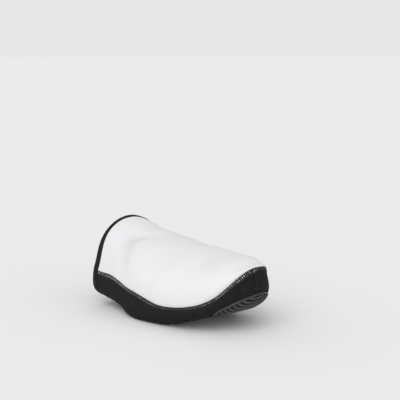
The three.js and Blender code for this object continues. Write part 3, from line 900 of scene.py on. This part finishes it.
def sole_grid():
    """Points of the sole panel, from its outline to the opening for the cleat, with normals."""
    boundary = sole_boundary(PLACES["sole_side"])
    x, y = CLEAT_OPENING["x"], CLEAT_OPENING["y"]
    length, width = CLEAT_OPENING["half_length"], CLEAT_OPENING["half_width"]
    angle = np.arctan2((boundary[:, 1] - y) / width, (boundary[:, 0] - x) / length)
    across, up = superellipse(angle, CLEAT_OPENING["squareness"])
    hole = np.zeros_like(boundary)
    hole[:, 0] = x + np.sign(np.cos(angle)) * length * across
    hole[:, 1] = y + np.sign(np.sin(angle)) * width * up
    points = lerp(boundary, hole, closer_at_ends(PLACES["sole_to_hole"])[:, None, None])
    points[..., 2] = sole_line(points[..., 0])
    return points, sole_normal(points[..., 0])


def sole_panel():
    """Cloth under the foot, thicker at the hem of its opening than elsewhere."""
    points, normals = sole_grid()
    from_edge = distances(points, 0)
    to_hole = from_edge[-1:] - from_edge
    inside_hem = ease((to_hole - HEM["width"]) / HEM["edge"])
    relief = seam_dip(from_edge) * SEAM_DIP["sole_share"] - HEM["height"] * inside_hem
    values = {"cloth": points * (1, 1, 0)}
    name, materials = "sole_panel_cloth", [CLOTH, LINING]
    return shell(name, points, normals, CLOTH_WALL, relief, materials, values, ring=True)


def rounded(loop):
    """A closed loop of points or normals with its kinks rounded off."""
    for _ in range(2):
        shifts = range(-TAPE_STIFFNESS, TAPE_STIFFNESS + 1)
        loop = sum(np.roll(loop, shift, axis=0) for shift in shifts) / len(shifts)
    return loop


def opening_loop(share, lift):
    """Line round the rear opening: over the upper, down, under the sole and up again. It lies at
    a share of the binding's width, lifted off the skin."""
    low = share * BINDING["width"]
    turn = float(turn_at(low))
    over = np.linspace(0, 1, PLACES["tape_over"])
    along = share * binding_width(over)
    down = np.linspace(0, 1, PLACES["tape_down"] + 1)[1:]
    medial, lateral = rand_point(turn, down), rand_point(-turn, down)
    beneath = np.linspace(0, 1, PLACES["tape_under"] + 2)[1:-1, None]
    under = lerp(medial[-1], lateral[-1], beneath)
    points = [upper_point(along, over), medial, under, lateral[::-1]]
    normals = [
        upper_normal(along, over),
        rand_normal(turn, down),
        np.broadcast_to(sole_normal(np.array(low)), under.shape),
        rand_normal(-turn, down)[::-1],
    ]
    return rounded(np.concatenate(points)) + unit(rounded(np.concatenate(normals))) * lift


def opening_binding():
    """Tape folded round the edge of the rear opening."""
    sides = PLACES["tape_round"]
    angle = np.arange(sides) / sides * 2 * np.pi
    across, up = superellipse(angle, BINDING["corner_power"])
    share = (1 + np.sign(np.cos(angle)) * across) / 2
    proud, depth = BINDING["proud"], BINDING["depth"]
    lift = (proud - depth) / 2 + (proud + depth) / 2 * np.sign(np.sin(angle)) * up
    rows = np.stack([opening_loop(a, b) for a, b in zip(share, lift)])
    index = np.arange(rows[..., 0].size).reshape(rows.shape[:2])
    index = np.concatenate([index, index[:1]])
    index = np.concatenate([index, index[:, :1]], axis=1)
    along = distances(rows, 1)
    girth = np.broadcast_to(np.arange(1, sides + 1)[:, None] * TAPE_GIRTH / sides, along.shape)
    cloth = np.stack([along, girth, np.zeros_like(along)], axis=-1).reshape(-1, 3)
    points, faces = rows.reshape(-1, 3), grid_faces(index)
    return mesh_object("binding_tape", points, faces, [TAPE], None, {"cloth": cloth})


def seam_stitches():
    """Row of slanting reflective stitches on the rands, just under the seam."""
    x = np.linspace(BINDING["width"] + 1, LENGTH, PLACES["seam_line"])
    turns = np.concatenate([-turn_at(x), turn_at(x[:-1])[::-1]])
    line = rand_point(turns, 0)
    index = np.arange(len(turns))
    places = even_places(line, SEAM_STITCH["pitch"])
    slant = np.gradient(places) * SEAM_STITCH["slant"]
    top = np.interp(places - slant, index, turns)
    bottom = np.interp(places + slant, index, turns)
    little = 0.02  # of the way down
    per_mm = little / np.linalg.norm(rand_point(top, little) - rand_point(top, 0), axis=-1)
    starts = rand_point(top, SEAM_STITCH["from"] * per_mm)
    reach = table_value(THREAD_GLINT_AND_REACH, "turn", "reach", top)
    ends = rand_point(bottom, reach * per_mm)
    normals = rand_normal(top, 2 * per_mm)
    starts = starts + normals * seam_dip(SEAM_STITCH["from"])
    radius, rise = SEAM_STITCH["radius"], SEAM_STITCH["rise"]
    # Painted glint: how much each stitch's colour is painted lighter.
    values = {"painted_glint": table_value(THREAD_GLINT_AND_REACH, "turn", "painted_glint", top)}
    return threads("seam_stitches", starts, ends, normals, radius, rise, REFLECTIVE, values)


def line_stitches(name, line, normals, material):
    """Straight stitches end to end along a line."""
    places = even_places(line, LINE_STITCH["pitch"])[:-1]
    share = LINE_STITCH["length"] / LINE_STITCH["pitch"]
    starts = resample(line, places)
    ends = resample(line, places + np.gradient(places) * share)
    normals = unit(resample(normals, places))
    radius, rise = LINE_STITCH["radius"], LINE_STITCH["rise"]
    return threads(name, starts, ends, normals, radius, rise, material)


def binding_stitches():
    """Stitches round the binding, near its front edge."""
    line = opening_loop(TAPE_STITCH_LINE, BINDING["proud"])
    normals = unit(line - opening_loop(TAPE_STITCH_LINE, 0))
    return line_stitches("binding_stitches", line, normals, BLACK_THREAD)


def hem_stitches():
    """Stitches along the turned edge of the opening for the cleat."""
    points, _ = sole_grid()
    line = np.concatenate([points[-1], points[-1][:1]])
    outward = unit(np.concatenate([points[-2], points[-2][:1]]) - line)
    line = line + outward * HEM["stitch"]
    line[:, 2] = sole_line(line[:, 0])
    return line_stitches("hem_stitches", line, sole_normal(line[:, 0]), BLACK_THREAD)


# ---- Light, floor and camera ----


def soft_sun(name, azimuth, elevation, spread, strength):
    """A sun as wide as a studio window, from an azimuth (0 is +X, 90 is +Y) and an elevation."""
    light = bpy.data.lights.new(name, "SUN")
    light.angle = math.radians(spread)
    light.energy = strength
    lamp = bpy.data.objects.new(name, light)
    lamp.rotation_euler = (math.radians(90 - elevation), 0, math.radians(azimuth + 90))
    bpy.context.collection.objects.link(lamp)


def studio_world():
    """Even pale surroundings, a little darker overhead."""
    world = bpy.data.worlds.new("studio")
    world.use_nodes = True
    tree = world.node_tree
    direction = tree.nodes.new("ShaderNodeTexCoord").outputs["Generated"]
    height = tree.nodes.new("ShaderNodeSeparateXYZ")
    tree.links.new(direction, height.inputs[0])
    tone = tree.nodes.new("ShaderNodeMapRange")
    heights = (0.1, 1.0)
    for socket, value in zip(tone.inputs[1:5], heights + SKY_TONES):
        socket.default_value = value
    tree.links.new(height.outputs["Z"], tone.inputs["Value"])
    tree.links.new(tone.outputs[0], tree.nodes["Background"].inputs["Color"])
    bpy.context.scene.world = world


def stage():
    """Wide paper floor, pale surroundings and one soft light."""
    far = FLOOR_HALF
    corners = [(-far, -far, 0), (far, -far, 0), (far, far, 0), (-far, far, 0)]
    mesh = bpy.data.meshes.new("floor")
    mesh.from_pydata(corners, [], [(0, 1, 2, 3)])
    mesh.materials.append(floor_paper())
    floor = bpy.data.objects.new("floor", mesh)
    bpy.context.collection.objects.link(floor)
    studio_world()
    soft_sun("key", **KEY_LIGHT)


def camera():
    """Long lens a little above the cover, in front of it on the lateral side."""
    data = bpy.data.cameras.new("camera")
    data.lens = CAMERA["lens"]
    data.sensor_width = CAMERA["sensor"]
    view = bpy.data.objects.new("camera", data)
    view.location = CAMERA["at"]
    view.rotation_euler = (math.radians(90 - CAMERA["dip"]), 0, math.radians(CAMERA["turn"]))
    bpy.context.collection.objects.link(view)
    bpy.context.scene.camera = view


def put(piece, node=None):
    """Puts a piece on the only body and hides the CAD node that it stands for, if any."""
    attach(piece, "root")
    if node:
        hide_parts(node)
    return piece


def main():
    upper = put(upper_panel(), "upper_panel")
    lateral_turns, medial_turns = rand_turns()
    lateral = put(rand("rand_lateral_cloth", lateral_turns), "rand_lateral")
    medial = put(rand("rand_medial_cloth", medial_turns), "rand_medial")
    sole = put(sole_panel(), "sole_panel")
    put(toe_pad(), "toe_pad")
    binding = put(opening_binding(), "opening_binding")
    thread = put(seam_stitches())
    binding_thread = put(binding_stitches())
    hem_thread = put(hem_stitches())
    stage()
    camera()
    bpy.context.scene.view_settings.view_transform = "Standard"


main()
